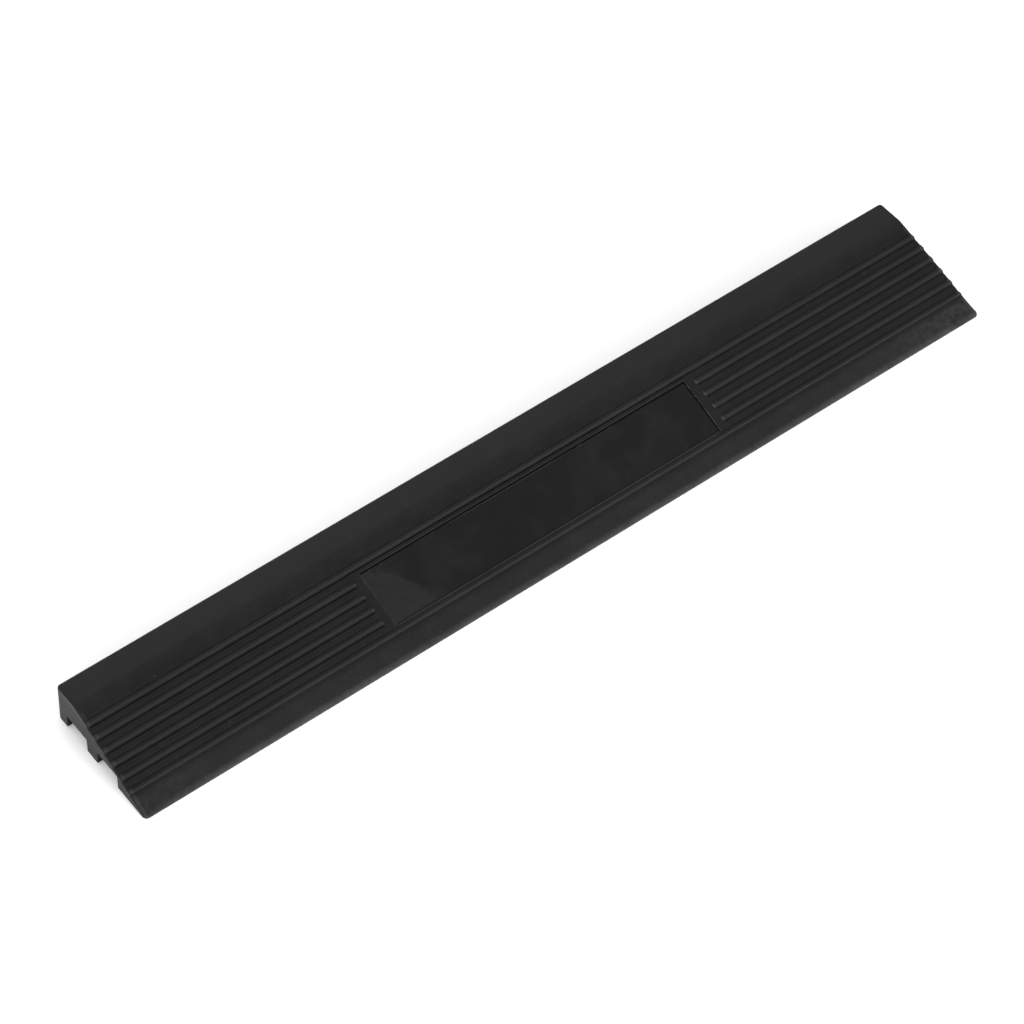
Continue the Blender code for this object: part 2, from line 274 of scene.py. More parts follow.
# A painted highlight along the nose rim, scuffs on the nose and on the front corners, and specks all
# over.
NOSE_HIGHLIGHT_RUNS = (58.1 * MM, 60.4 * MM)
NOSE_HIGHLIGHT_SIDES = (40 * MM - HALF_LENGTH, 2 * MM - HALF_LENGTH, 1.0, 0.45)
NOSE_MOTTLE = (0.35, 0.65, 0.2, 0.7)
RIGHT_CORNER = (HALF_LENGTH - 70 * MM, HALF_LENGTH - 5 * MM, 0.0, 0.8)
LEFT_CORNER = (45 * MM - HALF_LENGTH, 5 * MM - HALF_LENGTH, 0.0, 0.35)
SCUFF_PATCHES = (0.4, 0.64)
SCUFF_GROWTH = (50 * MM, HALF_LENGTH, 0.4, 1.0)
SCUFF_STRENGTH = 0.5
SPECK_PATCHES = (0.68, 0.74)
SPECK_STRENGTH = 0.45

# Wipe marks on the plate, its pale moulding edge at the back, a painted highlight along its left
# edge, and its specks.
PATCH_SLANT_RUNS = (25 * MM, 47 * MM)
PATCH_SLANT = -11 * MM
RAGGED_PATCH = (0.3, 0.7, -7 * MM, 7 * MM)
LEFT_PATCH = (-66 * MM, -70 * MM)
STREAK_SHARES = (0.3, 0.7, 0.55, 1.1)
SMEAR_PATCHES = (0.5, 0.66)
SMEAR_STRENGTH = 0.36
FRONT_SMEAR_RUNS = (38 * MM, 46 * MM)
FRONT_SMEAR = (-58 * MM, -64 * MM)
FRONT_SMEAR_STRENGTH = 0.35
BACK_FLASH = (PLATE_BACK_Y - 0.65 * MM, PLATE_BACK_Y - 0.35 * MM)
LEFT_EDGE_HIGHLIGHT = (0.6 * MM - POCKET_HALF_LENGTH, 0.3 * MM - POCKET_HALF_LENGTH)
LEFT_EDGE_HIGHLIGHT_SHARE = 0.6
FLASH_MIDDLE = (-30 * MM, 14 * MM)
FLASH_MIDDLE_FADE = 12 * MM
FLASH_PATCHES = (0.56, 0.64)
FLASH_AND_HIGHLIGHT_SHARE = 0.3
PLATE_SPECKS = (0.72, 0.76)
PLATE_SPECK_STRENGTH = 0.5
PLATE_GRAIN_TONE = (0.35, 0.75, 0.0, 0.12)

# Roughness from noise, and bumps as (height, strength).
BODY_ROUGHNESS = (0.3, 0.7, 0.44, 0.56)
PLATE_ROUGHNESS = (0.3, 0.7, 0.38, 0.5)
PATCHY_BUMP = (0.08 * MM, 0.5)
GRAIN_BUMP = (0.03 * MM, 0.6)
PLATE_BUMP = (0.02 * MM, 0.4)

# The studio. Each softbox: name, azimuth, elevation, (width, height), watts.
WORLD_STRENGTH = 0.9
SOFTBOX_DISTANCE = 1.6
SOFTBOXES = (
    ("front", 165.0, 20.0, (1.2, 0.8), 36.0),
    ("front_left", -120.0, 35.0, (1.2, 1.2), 8.0),
    ("back", 0.0, 25.0, (1.2, 0.8), 6.0),
    ("back_right", 32.0, 50.0, (1.2, 1.2), 2.0),
)
CAMERA_AIM = Vector((-12.3 * MM, -2.2 * MM, 9.0 * MM))
CAMERA_DISTANCE = 1.4185
CAMERA_AZIMUTH = 212.16
CAMERA_ELEVATION = 50.08
CAMERA_ROLL = 5.06
CAMERA_LENS = 129.12
CAMERA_SENSOR = 36.0


def smooth(edge_low, edge_high, value):
    """0 below edge_low, 1 above edge_high, an S-curve between."""
    share = np.clip((value - edge_low) / (edge_high - edge_low), 0.0, 1.0)
    return share * share * (3 - 2 * share)


def crest_line(run):
    step = (run - FIRST_CREST_RUN) / RIB_PITCH
    return FIRST_CREST_HEIGHT - CREST_FALL * step - CREST_SAG * step * step


def frame_line(run):
    return crest_line(run) - FRAME_DROP


def arc(centre_run, centre_height, radius, first_angle, last_angle, count):
    angles = np.linspace(first_angle, last_angle, count)
    return [
        (centre_run + radius * math.cos(a), centre_height + radius * math.sin(a)) for a in angles
    ]


def between(start, end, shares):
    """Points on the straight line from start to end."""
    return [
        (start[0] + share * (end[0] - start[0]), start[1] + share * (end[1] - start[1]))
        for share in shares
    ]


def edge_distances(radius, count):
    """Distances from an edge of the lines that round it, from the edge inwards."""
    return [radius * (1 - math.sin(a)) for a in np.linspace(math.pi / 2, 0, count)]


def crest_place(index):
    return FIRST_CREST_RUN + index * RIB_PITCH


def drop_depth(index):
    return LAST_DROP_DEPTH if index == RIB_COUNT - 1 else DROP_DEPTH


def foot_run(index):
    """How far forward the drop in front of a rib reaches its foot."""
    fallen = CREST_RADIUS * (1 - math.sin(DROP_FACING))
    start = crest_place(index) - CREST_INSET + CREST_RADIUS * math.cos(DROP_FACING)
    return start + (drop_depth(index) - fallen) / math.tan(DROP_ANGLE)


def rib_outline(index):
    """One rib from its back crease, over the flat band and the crest, to the foot of its drop."""
    crest_run = crest_place(index)
    top = crest_line(crest_run)
    back = crest_run - RIB_WIDTH
    points = [
        (back + ahead * RIB_BACK_SLANT, top - below * RIB_BACK_STEP)
        for ahead, below in RIB_BACK_CURVE
    ]
    points += arc(
        crest_run - CREST_INSET,
        top - CREST_RADIUS,
        CREST_RADIUS,
        math.pi / 2,
        DROP_FACING,
        CREST_POINTS,
    )
    points += arc(
        foot_run(index) + FOOT_RADIUS * math.cos(DROP_FACING),
        top - drop_depth(index) + FOOT_RADIUS * math.sin(DROP_FACING),
        FOOT_RADIUS,
        math.pi + DROP_FACING,
        1.5 * math.pi - VALLEY_ANGLE,
        FOOT_POINTS,
    )
    return points


def back_groove_run(index):
    return crest_place(index) - RIB_WIDTH - BACK_GROOVE_OFFSET


def groove_depth(run):
    """Depth of the fine creases moulded at the foot and at the back of every rib."""
    depth = 0.0
    for index in range(RIB_COUNT):
        foot = foot_run(index) + FOOT_GROOVE[0] / 2
        foot_groove = LAST_FOOT_GROOVE if index == RIB_COUNT - 1 else FOOT_GROOVE
        grooves = ((foot, foot_groove), (back_groove_run(index), BACK_GROOVE))
        for centre, (width, deep) in grooves:
            depth = max(depth, deep * (1 - abs(run - centre) / (width / 2)))
    return depth


def groove_runs():
    """Runs at which the creases need lines of the mesh."""
    runs = []
    for index in range(RIB_COUNT):
        runs += [foot_run(index) + share * FOOT_GROOVE[0] for share in FOOT_GROOVE_SHARES]
        runs += [back_groove_run(index) + share * BACK_GROOVE[0] for share in BACK_GROOVE_SHARES]
    return runs


def shoulder_outline():
    """The flat top and the rounded shoulder that leads down to the first rib."""
    points = [
        (run, HEIGHT)
        for run in (
            *edge_distances(TOP_EDGE_RADIUS, TOP_EDGE_POINTS),
            EDGE_MARGIN,
            BACK_CORNER_RADIUS,
        )
    ]
    crease_height = crest_line(FIRST_CREST_RUN) - RIB_BACK_STEP
    reach = SHOULDER_RADIUS * math.sin(SHOULDER_ANGLE)
    fall = HEIGHT - crease_height - SHOULDER_RADIUS * (1 - math.cos(SHOULDER_ANGLE))
    shoulder = FIRST_CREST_RUN - RIB_WIDTH - fall / math.tan(SHOULDER_ANGLE) - reach
    points.append(((BACK_CORNER_RADIUS + shoulder) / 2, HEIGHT))
    return points + arc(
        shoulder,
        HEIGHT - SHOULDER_RADIUS,
        SHOULDER_RADIUS,
        math.pi / 2,
        math.pi / 2 - SHOULDER_ANGLE,
        SHOULDER_POINTS,
    )


def nose_outline():
    """The rounded nose, as a cubic curve from the front slope down to the tip."""
    handle = NOSE_TOP_HANDLE * (WIDTH - NOSE_RUN)
    corners = np.array(
        [
            (NOSE_RUN, NOSE_HEIGHT),
            (NOSE_RUN + handle, NOSE_HEIGHT - handle * NOSE_SLOPE),
            (WIDTH, NOSE_TIP_HEIGHT + NOSE_TIP_HANDLE * (NOSE_HEIGHT - NOSE_TIP_HEIGHT)),
            (WIDTH, NOSE_TIP_HEIGHT),
        ]
    )
    points = []
    for t in np.linspace(0, 1, NOSE_POINTS):
        weights = np.array([(1 - t) ** 3, 3 * t * (1 - t) ** 2, 3 * t * t * (1 - t), t**3])
        points.append(tuple(weights @ corners))
    return points


def top_outline():
    """(run, height) of the top through the ribs, from the back edge to the nose."""
    points = shoulder_outline()
    for index in range(RIB_COUNT):
        rib = rib_outline(index)
        points += between(points[-1], rib[0], VALLEY_SHARES if index else SLOPE_SHARES)
        points += rib
    nose = nose_outline()
    return points + between(points[-1], nose[0], FRONT_SHARES) + nose


def channel_side(roof):
    """(offset inwards, height) up one wall of a channel, from the foot's edge to the roof."""
    side = [
        (-FOOT_EDGE_RADIUS * (1 - math.sin(a)), FOOT_EDGE_RADIUS * (1 - math.cos(a)))
        for a in np.linspace(0, math.pi / 2, FOOT_EDGE_POINTS)
    ]
    for a in np.linspace(0, math.pi / 2, CHANNEL_ROOF_POINTS):
        inwards = CHANNEL_DRAFT + CHANNEL_ROOF_RADIUS * (1 - math.cos(a))
        side.append((inwards, roof - CHANNEL_ROOF_RADIUS * (1 - math.sin(a))))
    return side


def bottom_outline(low):
    """(run, height) of the underside. low is 0 where the front channel is tall, 1 where it dips."""
    points = [(0.0, 0.0)]
    for start, end, dipped in CHANNELS:
        roof = CHANNEL_HEIGHT + low * (dipped - CHANNEL_HEIGHT)
        side = channel_side(roof)
        points += [(start + offset, height) for offset, height in side]
        points.append(((start + end) / 2, roof))
        points += [(end - offset, height) for offset, height in reversed(side)]
    points.append((WIDTH, 0.0))
    return points


def end_reach(run):
    """How far from the middle the ramp reaches at this run, with its rounded corners."""
    for radius, distance in ((BACK_CORNER_RADIUS, run), (NOSE_CORNER_RADIUS, WIDTH - run)):
        if distance < radius:
            return HALF_LENGTH - radius + math.sqrt(max(0.0, radius**2 - (radius - distance) ** 2))
    return HALF_LENGTH


def edge_distance(x, run):
    """Distance from the back edge or from the nearer end, whichever is less."""
    radius = BACK_CORNER_RADIUS
    along = abs(x) - (HALF_LENGTH - radius)
    if along > 0 and run < radius:
        return radius - math.hypot(along, radius - run)
    return min(run, end_reach(run) - abs(x))


def draft_share(distance):
    return max(0.0, 1 - distance / DRAFT_REACH)


def box_distance(x, run, low_x, high_x, low_run, high_run, radius):
    """Distance outside a rounded rectangle in plan, negative inside it."""
    dx = max(low_x - x, x - high_x) + radius
    dy = max(low_run - run, run - high_run) + radius
    outside = math.hypot(max(dx, 0.0), max(dy, 0.0))
    return outside + min(max(dx, dy), 0.0) - radius


def rib_share(x, run):
    """1 on the ribs, 0 on the band around the plate, rounded at the ribs' inner ends."""
    crest = crest_place(round((run - FIRST_CREST_RUN + RIB_MIDDLE) / RIB_PITCH))
    span = (RIB_STOP, HALF_LENGTH + PAST_THE_END)
    half_pitch = RIB_PITCH / 2
    room = (crest - RIB_WIDTH - half_pitch, crest + half_pitch)
    rib = (crest - RIB_END_BACK, crest + RIB_END_FRONT)
    inside = -box_distance(abs(x), run, *span, *room, 0.0)
    corner = box_distance(abs(x), run, *span, *rib, RIB_END_RADIUS)
    distance = min(inside, max(-corner, inside - RIB_END_RADIUS))
    share = min(max(distance / RIB_END_ROUNDING, 0.0), 1.0)
    return math.sqrt(1 - (1 - share) ** 2)


def rounded_step(distance, radius, depth):
    """Depth below the rim at this distance outside a pocket's wall, with a rounded edge."""
    if distance >= radius:
        return 0.0
    if distance < 0:
        return depth
    return radius - math.sqrt(radius**2 - (radius - distance) ** 2)


def front_bead(x, run):
    """The low bead on the band between the plate and the last rib."""
    start, end = BEAD_RUNS
    if not start < run < end:
        return 0.0
    fade = smooth(0.0, BEAD_FADE, POCKET_HALF_LENGTH - abs(x))
    return BEAD_HEIGHT * math.sin(math.pi * ((run - start) / (end - start)) ** BEAD_LEAN) * fade


def top_height(x, run, height, groove):
    """Height of the top at a place, from the outline's height and the crease's depth there."""
    shallower = 1 - GROOVE_LOSS * smooth(*GROOVE_LOSS_PLACES, x)
    height -= groove * shallower * smooth(*GROOVE_FADE, edge_distance(x, run))
    band_start = FIRST_CREST_RUN + RIB_WIDTH / 2
    band_end = LAST_CREST_RUN - RIB_WIDTH - VALLEY_MARGIN / 2
    if band_start < run < band_end:
        in_first_foot = groove and run < FIRST_CREST_RUN + RIB_PITCH / 2
        share = 1.0 if in_first_foot else rib_share(x, run)
        height = share * height + (1 - share) * frame_line(run)
        distance = box_distance(
            x, run, -POCKET_HALF_LENGTH, POCKET_HALF_LENGTH, *POCKET_RUNS, 0.0
        )
        height += front_bead(x, run)
        height -= rounded_step(distance, POCKET_EDGE_RADIUS, POCKET_DEPTH)
    radius = min(TOP_EDGE_RADIUS, THIN_EDGE_SHARE * height)
    inside = min(radius, max(0.0, radius - edge_distance(x, run)))
    return height - radius + math.sqrt(radius * radius - inside * inside)


def cross_section_places():
    """(side, distance, from_end) of each cross-section, from one end to the other."""
    distances = list(np.arange(*MIDDLE_SECTIONS))
    distances += [POCKET_HALF_LENGTH + step for step in POCKET_WALL_STEPS]
    distances += list(np.linspace(*RIB_END_SECTIONS))
    distances += list(np.arange(*OUTER_SECTIONS))
    half = [(distance, False) for distance in distances]
    half += [(distance, True) for distance in END_SECTIONS]
    rounding = edge_distances(TOP_EDGE_RADIUS, TOP_EDGE_POINTS)
    half += [(distance, True) for distance in reversed(rounding)]
    left = [(-1, distance, from_end) for distance, from_end in reversed(half)]
    return left + [(1, distance, from_end) for distance, from_end in half]


def add_closed_mesh(name, top, bottom):
    """A solid between two grids of points, top[i][j] over bottom[i][j], with i along +X."""
    rows, columns = top.shape[:2]
    upper = np.arange(rows * columns).reshape(rows, columns)
    lower = upper + rows * columns
    a, b = upper[:-1, :-1], upper[:-1, 1:]
    c, d = upper[1:, 1:], upper[1:, :-1]
    faces = [np.stack([a, b, c, d], -1).reshape(-1, 4)]
    faces.append(np.stack([a, d, c, b], -1).reshape(-1, 4) + rows * columns)
    rim = [(0, j) for j in range(columns)]
    rim += [(i, columns - 1) for i in range(1, rows)]
    rim += [(rows - 1, j) for j in range(columns - 2, -1, -1)]
    rim += [(i, 0) for i in range(rows - 2, 0, -1)]
    rim_upper = np.array([upper[place] for place in rim])
    rim_lower = np.array([lower[place] for place in rim])
    faces.append(
        np.stack([np.roll(rim_upper, -1), rim_upper, rim_lower, np.roll(rim_lower, -1)], -1)
    )
    points = np.concatenate([top.reshape(-1, 3), bottom.reshape(-1, 3)])
    mesh = bpy.data.meshes.new(name)
    mesh.from_pydata(points.tolist(), [], np.concatenate(faces).tolist())
    mesh.shade_smooth()
    mesh.set_sharp_from_angle(angle=SHARP_ANGLE)
    piece = bpy.data.objects.new(name, mesh)
    bpy.context.scene.collection.objects.link(piece)
    weighted = piece.modifiers.new("flat_faces_stay_flat", "WEIGHTED_NORMAL")
    weighted.keep_sharp = True
    return piece


def wobble(x, run, size, amount):
    """A small smooth irregularity of moulded rubber."""
    return amount * noise.noise(Vector((x / size, run / size, NOISE_LAYER)))


def body_runs(top, bottom):
    """Every run at which the body's mesh has a line of points."""
    walls = [POCKET_RUNS[0] - step for step in POCKET_WALL_STEPS]
    walls += [POCKET_RUNS[1] + step for step in POCKET_WALL_STEPS]
    bead = np.linspace(*BEAD_RUNS, BEAD_POINTS)
    runs = np.concatenate([top[:, 0], bottom[:, 0], walls, groove_runs(), bead])
    return np.unique(np.round(runs, GRID_DECIMALS))


def add_body():
    outline = np.array(top_outline())
    tall = np.array(bottom_outline(0.0))
    low = np.array(bottom_outline(1.0))
    runs = body_runs(outline, tall)
    heights = np.interp(runs, outline[:, 0], outline[:, 1])
    tall_heights = np.interp(runs, tall[:, 0], tall[:, 1])
    low_heights = np.interp(runs, low[:, 0], low[:, 1])
    grooves = [groove_depth(run) for run in runs]
    places = cross_section_places()
    top = np.zeros((len(places), len(runs), 3))
    bottom = np.zeros_like(top)
    for i, (side, distance, from_end) in enumerate(places):
        for j, run in enumerate(runs):
            reach = end_reach(run)
            x = side * (reach - distance if from_end else distance)
            end_slant = side * END_DRAFT * draft_share(reach - abs(x))
            z = top_height(x, run, heights[j], grooves[j])
            inboard = smooth(*BODY_WAVE_FADE, edge_distance(x, run))
            z -= abs(wobble(x, run, *BODY_WAVE)) * inboard
            top_run = run + BACK_DRAFT * z * draft_share(run)
            top[i, j] = (x - end_slant * z, BACK_Y - top_run, z)
            dip = 1 - smooth(0.0, LOW_ROOF_RAMP, abs(x) - LOW_ROOF_HALF_LENGTH)
            under = tall_heights[j] + dip * (low_heights[j] - tall_heights[j])
            bottom[i, j] = (x - end_slant * under, BACK_Y - run, under)
    return add_closed_mesh("visual_ramp_body", top, bottom)


def rounded_line(low, high, inset, count):
    """Places across the plate, close together where its edges are rounded."""
    rounding = edge_distances(PLATE_EDGE_RADIUS, PLATE_EDGE_POINTS)
    places = [low + d for d in rounding]
    places += list(np.linspace(low + inset, high - inset, count))
    return places + [high - d for d in reversed(rounding)]


def add_plate():
    """The plate, pushed against the front and left walls, with ragged back and right edges."""
    left = PLATE_SNUG_GAP - POCKET_HALF_LENGTH
    right = POCKET_HALF_LENGTH - PLATE_RIGHT_GAP
    back = BACK_Y - PLATE_BACK_Y
    front = POCKET_RUNS[1] - PLATE_SNUG_GAP
    xs = rounded_line(left, right, *PLATE_COLUMNS)
    runs = rounded_line(back, front, *PLATE_ROWS)
    top = np.zeros((len(xs), len(runs), 3))
    bottom = np.zeros_like(top)
    for i, x in enumerate(xs):
        ragged = wobble(x, 0.0, *BACK_EDGE_NICKS) + wobble(x, WAVE_ROW, *BACK_EDGE_WAVE)
        right_share = max(0.0, 1 - (right - x) / RAGGED_REACH)
        for j, run in enumerate(runs):
            inside = min(x - left, right - x, run - back, front - run)
            fall = rounded_step(max(inside, 0.0), PLATE_EDGE_RADIUS, 0.0)
            back_share = max(0.0, 1 - (run - back) / RAGGED_REACH)
            shifted_y = BACK_Y - (run + abs(ragged) * back_share)
            shifted_x = x - abs(wobble(0.0, run, *RIGHT_EDGE_NICKS)) * right_share
            z = frame_line(run) - PLATE_RECESS
            dent = abs(wobble(x, run, *PLATE_WAVE))
            top[i, j] = (shifted_x, shifted_y, z - fall - dent)
            bottom[i, j] = (shifted_x, shifted_y, z - PLATE_THICKNESS)
    return add_closed_mesh("visual_inlay_plate", top, bottom)


class Nodes:
    """A short way to write a material's node tree, with the object's own x, y and z at hand."""

    def __init__(self, name):
        self.material = bpy.data.materials.new(name)
        self.material.use_nodes = True
        self.tree = self.material.node_tree
        self.shader = self.tree.nodes["Principled BSDF"]
        self.place = self.tree.nodes.new("ShaderNodeTexCoord").outputs["Object"]
        split = self.tree.nodes.new("ShaderNodeSeparateXYZ")
        self.link(self.place, split.inputs["Vector"])
        self.x, self.y, self.z = split.outputs

    def link(self, source, target):
        self.tree.links.new(source, target)

    def noise(self, scale, detail=3.0, roughness=0.55, distortion=0.0):
        node = self.tree.nodes.new("ShaderNodeTexNoise")
        node.inputs["Scale"].default_value = scale
        node.inputs["Detail"].default_value = detail
        node.inputs["Roughness"].default_value = roughness
        node.inputs["Distortion"].default_value = distortion
        self.link(self.place, node.inputs["Vector"])
        return node.outputs["Fac"]

    def ramp(self, value, low, high, out_low=0.0, out_high=1.0, kind="LINEAR", clamp=True):
        """out_low where value is low, out_high where it is high, and a change between."""
        node = self.tree.nodes.new("ShaderNodeMapRange")
        node.interpolation_type = kind
        node.clamp = clamp
        for name, number in (
            ("From Min", low),
            ("From Max", high),
            ("To Min", out_low),
            ("To Max", out_high),
        ):
            node.inputs[name].default_value = number
        self.link(value, node.inputs["Value"])
        return node.outputs["Result"]

    def run_ramp(self, start, end, out_start=0.0, out_end=1.0, kind="LINEAR", clamp=True):
        """The same between two runs."""
        return self.ramp(self.y, BACK_Y - start, BACK_Y - end, out_start, out_end, kind, clamp)

    def band(self, value, low, high, edge):
        """1 between low and high, fading to 0 within edge on either side."""
        rise = self.ramp(value, low - edge, low)
        return self.times(rise, self.ramp(value, high, high + edge, 1.0, 0.0))

    def run_band(self, start, end, edge):
        """The same between two runs."""
        return self.band(self.y, BACK_Y - end, BACK_Y - start, edge)

    def math(self, operation, first, *others):
        """The operation on the first two values, then on its result and the next one."""
        result = first
        for other in others:
            node = self.tree.nodes.new("ShaderNodeMath")
            node.operation = operation
            for value, socket in ((result, node.inputs[0]), (other, node.inputs[1])):
                if isinstance(value, (int, float)):
                    socket.default_value = value
                else:
                    self.link(value, socket)
            result = node.outputs[0]
        return result

    def times(self, *values):
        return self.math("MULTIPLY", *values)

    def plus(self, *values):
        return self.math("ADD", *values)

    def most(self, *values):
        return self.math("MAXIMUM", *values)

    def together(self, coarse, fine):
        """A coarse and a fine noise in one."""
        return self.plus(self.times(coarse, COARSE_SHARE), self.times(fine, 1 - COARSE_SHARE))

    def size_of(self, value):
        return self.math("ABSOLUTE", value, 0.0)

    def mix(self, factor, first, second):
        node = self.tree.nodes.new("ShaderNodeMix")
        node.data_type = "RGBA"
        self.link(factor, node.inputs["Factor"])
        for value, socket in ((first, node.inputs["A"]), (second, node.inputs["B"])):
            if isinstance(value, tuple):
                socket.default_value = (*value, 1.0)
            else:
                self.link(value, socket)
        return node.outputs["Result"]

    def bump(self, height, distance, strength, below=None):
        node = self.tree.nodes.new("ShaderNodeBump")
        node.inputs["Distance"].default_value = distance
        node.inputs["Strength"].default_value = strength
        self.link(height, node.inputs["Height"])
        if below is not None:
            self.link(below, node.inputs["Normal"])
        return node.outputs["Normal"]

    def finish(self, colour, roughness, normal, specular):
        self.link(colour, self.shader.inputs["Base Color"])
        self.link(roughness, self.shader.inputs["Roughness"])
        self.link(normal, self.shader.inputs["Normal"])
        self.shader.inputs["Specular IOR Level"].default_value = specular
        return self.material


def rise_over_slope(n):
    """Height with the fall of the crest line taken out, so that every crest has the same value."""
    step = n.run_ramp(FIRST_CREST_RUN, crest_place(1), clamp=False)
    fall = n.times(step, CREST_FALL)
    sag = n.times(step, step, CREST_SAG)
    return n.plus(n.z, n.plus(fall, sag))


def painted_light_places(n, rise, on_front):
    """Painted light: paler top, front, rib crests and bead; the valleys stay dark as painted shade.
    """
    on_top = n.run_ramp(*TOP_EDGE_RUNS, *TOP_EDGE_SHARES, kind="SMOOTHSTEP")
    on_top = n.times(on_top, n.run_ramp(*TOP_RUNS, *TOP_SHARES))
    on_rib = n.ramp(rise, *CREST_RISE)
    on_bead = n.run_band(*BEAD_RUNS, BEAD_EDGE)
    on_bead = n.times(on_bead, n.band(n.x, -PALE_BEAD_REACH, PALE_BEAD_REACH, PALE_BEAD_FADE))
    return n.most(on_top, on_front, n.times(on_rib, RIB_PALENESS), n.times(on_bead, BEAD_PALENESS))


def rib_tip_highlights(n, rise, outward):
    """Painted highlights at the ribs' ends by both end faces and the short ribs' inner ends right of
    the plate.
    """
    outer_tip = n.band(outward, *OUTER_TIP, TIP_FADE)
    inner_tip = n.band(n.x, *INNER_TIP, TIP_FADE)
    short_ribs = n.run_band(*SHORT_RIB_RUNS, SHORT_RIB_FADE)
    tips = n.most(outer_tip, n.times(inner_tip, short_ribs))
    return n.times(tips, n.ramp(rise, *TIP_RISE), n.run_ramp(*TIP_START_RUNS))


def lip_highlight(n):
    """A painted highlight along the pocket's lip on either side of the plate, stronger on the right.
    """
    beside = n.band(n.size_of(n.x), *LIP_PLACES, LIP_EDGE)
    lip = n.times(beside, n.run_band(*LIP_RUNS, LIP_RUN_FADE))
    lip = n.times(lip, n.ramp(n.noise(*LIP_NOISE), *LIP_PATCHES))
    return n.times(lip, n.ramp(n.x, *LIP_SIDES))


def end_rim(n, on_end):
    """A painted highlight line on the end faces just under the shoulder."""
    shoulder = n.run_ramp(*RIM_RUNS, *RIM_HEIGHTS)
    below_top = n.math("SUBTRACT", shoulder, n.z)
    rim = n.times(on_end, n.band(below_top, *RIM_DEPTHS, RIM_EDGE))
    return n.times(rim, n.run_band(*RIM_PALE_RUNS, RIM_PALE_FADE))


def edge_rim(n, outward):
    """A faint painted highlight line along the rounded edge of the slope before the first rib."""
    rim = n.band(outward, *EDGE_RIM, EDGE_RIM_FADE)
    return n.times(rim, n.run_band(*EDGE_RIM_RUNS, EDGE_RIM_RUN_FADE))


def nose_rim_highlight(n):
    """A painted highlight along the front rim, weaker at the far left."""
    return n.times(n.run_ramp(*NOSE_HIGHLIGHT_RUNS, kind="SMOOTHSTEP"), n.ramp(n.x, *NOSE_HIGHLIGHT_SIDES))


def scuffs(n, nose, on_front):
    """Broken scuffs on the nose and on the front corners, more of them towards the ends."""
    right_corner = n.ramp(n.x, *RIGHT_CORNER, kind="SMOOTHSTEP")
    corner = n.most(right_corner, n.ramp(n.x, *LEFT_CORNER))
    place = n.most(nose, n.times(corner, on_front))
    broken = n.ramp(n.noise(*SCUFF_NOISE), *SCUFF_PATCHES)
    return n.times(broken, place, n.ramp(n.size_of(n.x), *SCUFF_GROWTH))


def body_material():
    """Black rubber: painted light on the top, front and crests, painted shade in the valleys,
    scuffed nose.
    """
    n = Nodes("moulded_black_rubber")
    cloudy = n.noise(*CLOUDY_NOISE)
    patchy = n.noise(*PATCHY_NOISE)
    fine = n.noise(*GRAIN_NOISE)
    mottle = n.together(cloudy, patchy)
    rise = rise_over_slope(n)
    outward = n.plus(n.size_of(n.x), n.times(n.z, END_DRAFT))
    on_end = n.ramp(outward, *END_FACE)
    on_front = n.run_ramp(*FRONT_RUNS, 0.0, FRONT_PALENESS, kind="SMOOTHSTEP")
    # Painted light: paler top, front, rib crests and bead; the valleys stay dark as painted shade.
    tone = n.times(painted_light_places(n, rise, on_front), PAINTED_LIGHT_TONE)
    grain = n.times(n.ramp(fine, *GRAIN_TONE), n.ramp(on_front, 0.0, FRONT_PALENESS, *FRONT_GRAIN))
    tone = n.plus(tone, n.ramp(mottle, *MOTTLE_TONE), grain)
    colour = n.mix(tone, DARK_RUBBER, WORN_AND_LIT_RUBBER)
    # Painted highlights on the rib tips.
    colour = n.mix(n.times(rib_tip_highlights(n, rise, outward), TIP_HIGHLIGHT), colour, SCUFF_AND_HIGHLIGHT_GREY)
    # Painted highlight along the pocket's lip.
    colour = n.mix(lip_highlight(n), colour, SCUFF_AND_HIGHLIGHT_GREY)
    colour = n.mix(on_end, colour, n.mix(n.ramp(patchy, *END_PATCHES), END_RUBBER, PALE_END))
    # Painted highlight line under the end faces' top border.
    colour = n.mix(n.times(end_rim(n, on_end), END_RIM_HIGHLIGHT), colour, SCUFF_AND_HIGHLIGHT_GREY)
    # Painted highlight line on the rounded edge of the slope.
    colour = n.mix(n.times(edge_rim(n, outward), EDGE_RIM_HIGHLIGHT), colour, SCUFF_AND_HIGHLIGHT_GREY)
    # Painted highlight along the nose rim, broken by mottle.
    nose = nose_rim_highlight(n)
    colour = n.mix(n.times(nose, n.ramp(mottle, *NOSE_MOTTLE)), colour, SCUFF_AND_HIGHLIGHT_GREY)
    colour = n.mix(n.times(scuffs(n, nose, on_front), SCUFF_STRENGTH), colour, SCUFF_AND_HIGHLIGHT_GREY)
    specks = n.ramp(n.noise(*SPECK_NOISE), *SPECK_PATCHES)
    colour = n.mix(n.times(specks, SPECK_STRENGTH), colour, SPECK_GREY)
    grit = n.together(patchy, fine)
    normal = n.bump(patchy, *PATCHY_BUMP, n.bump(fine, *GRAIN_BUMP))
    return n.finish(colour, n.ramp(grit, *BODY_ROUGHNESS), normal, RUBBER_SPECULAR)


